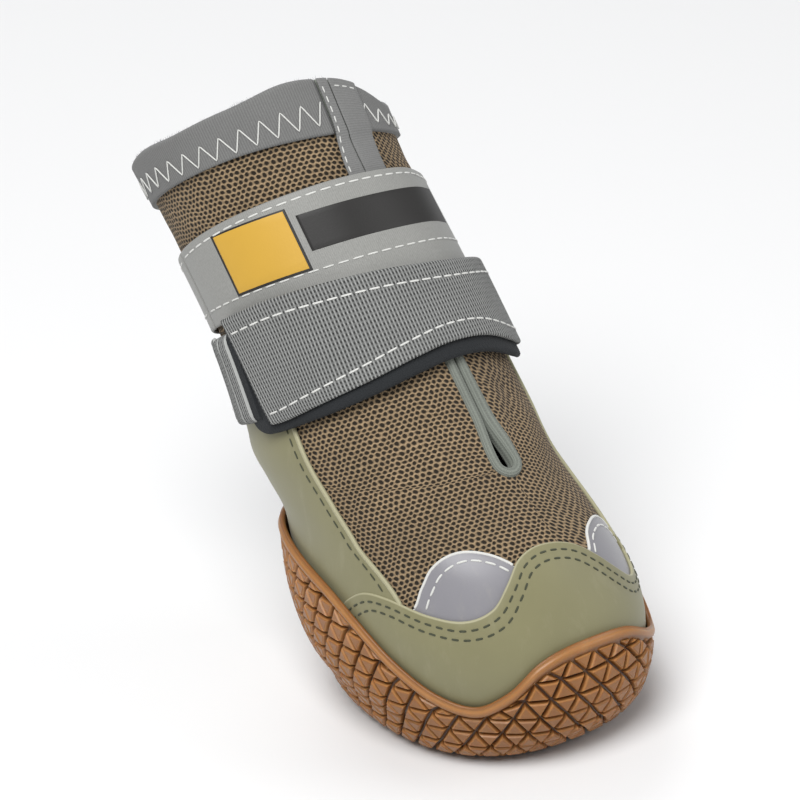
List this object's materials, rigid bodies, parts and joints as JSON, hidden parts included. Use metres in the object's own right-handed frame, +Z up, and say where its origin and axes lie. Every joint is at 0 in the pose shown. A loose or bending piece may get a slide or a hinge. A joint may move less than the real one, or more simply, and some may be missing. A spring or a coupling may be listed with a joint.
{
  "type": "dog boot",
  "caption": "Dog boot with a rubber cup sole, hollow mesh upper, scalloped toe rand, heel counter, split bound collar, reflective band and webbing strap.",
  "frame": {"origin": "centre of the top of the middle tread lug, on the plane that the sole stands on", "axes": "+Z up from the ground, toe towards -Y, collar leaning towards +Y, +X on the right of someone who faces the toe"},
  "size_m": [0.0698, 0.1328, 0.1327],
  "materials": {
    "gum_rubber": "satin translucent caramel rubber",
    "insole_board": "matt dark foam board",
    "spacer_mesh": "open brown-olive spacer mesh",
    "khaki_synthetic": "smooth satin khaki synthetic",
    "binding_tape": "soft grey folded tape",
    "reflective_tape": "pale grey reflective tape",
    "webbing": "ribbed grey webbing",
    "loop_pile": "dark soft pile"
  },
  "bodies": {
    "root": {"outsole": "gum_rubber", "insole": "insole_board", "upper": "spacer_mesh", "toe_rand": "khaki_synthetic", "heel_counter": "khaki_synthetic", "collar_band": "binding_tape", "throat_binding": "binding_tape", "upper_strap": "reflective_tape", "lower_strap": "webbing", "loop_pad": "loop_pile"}
  },
  "joints": []
}
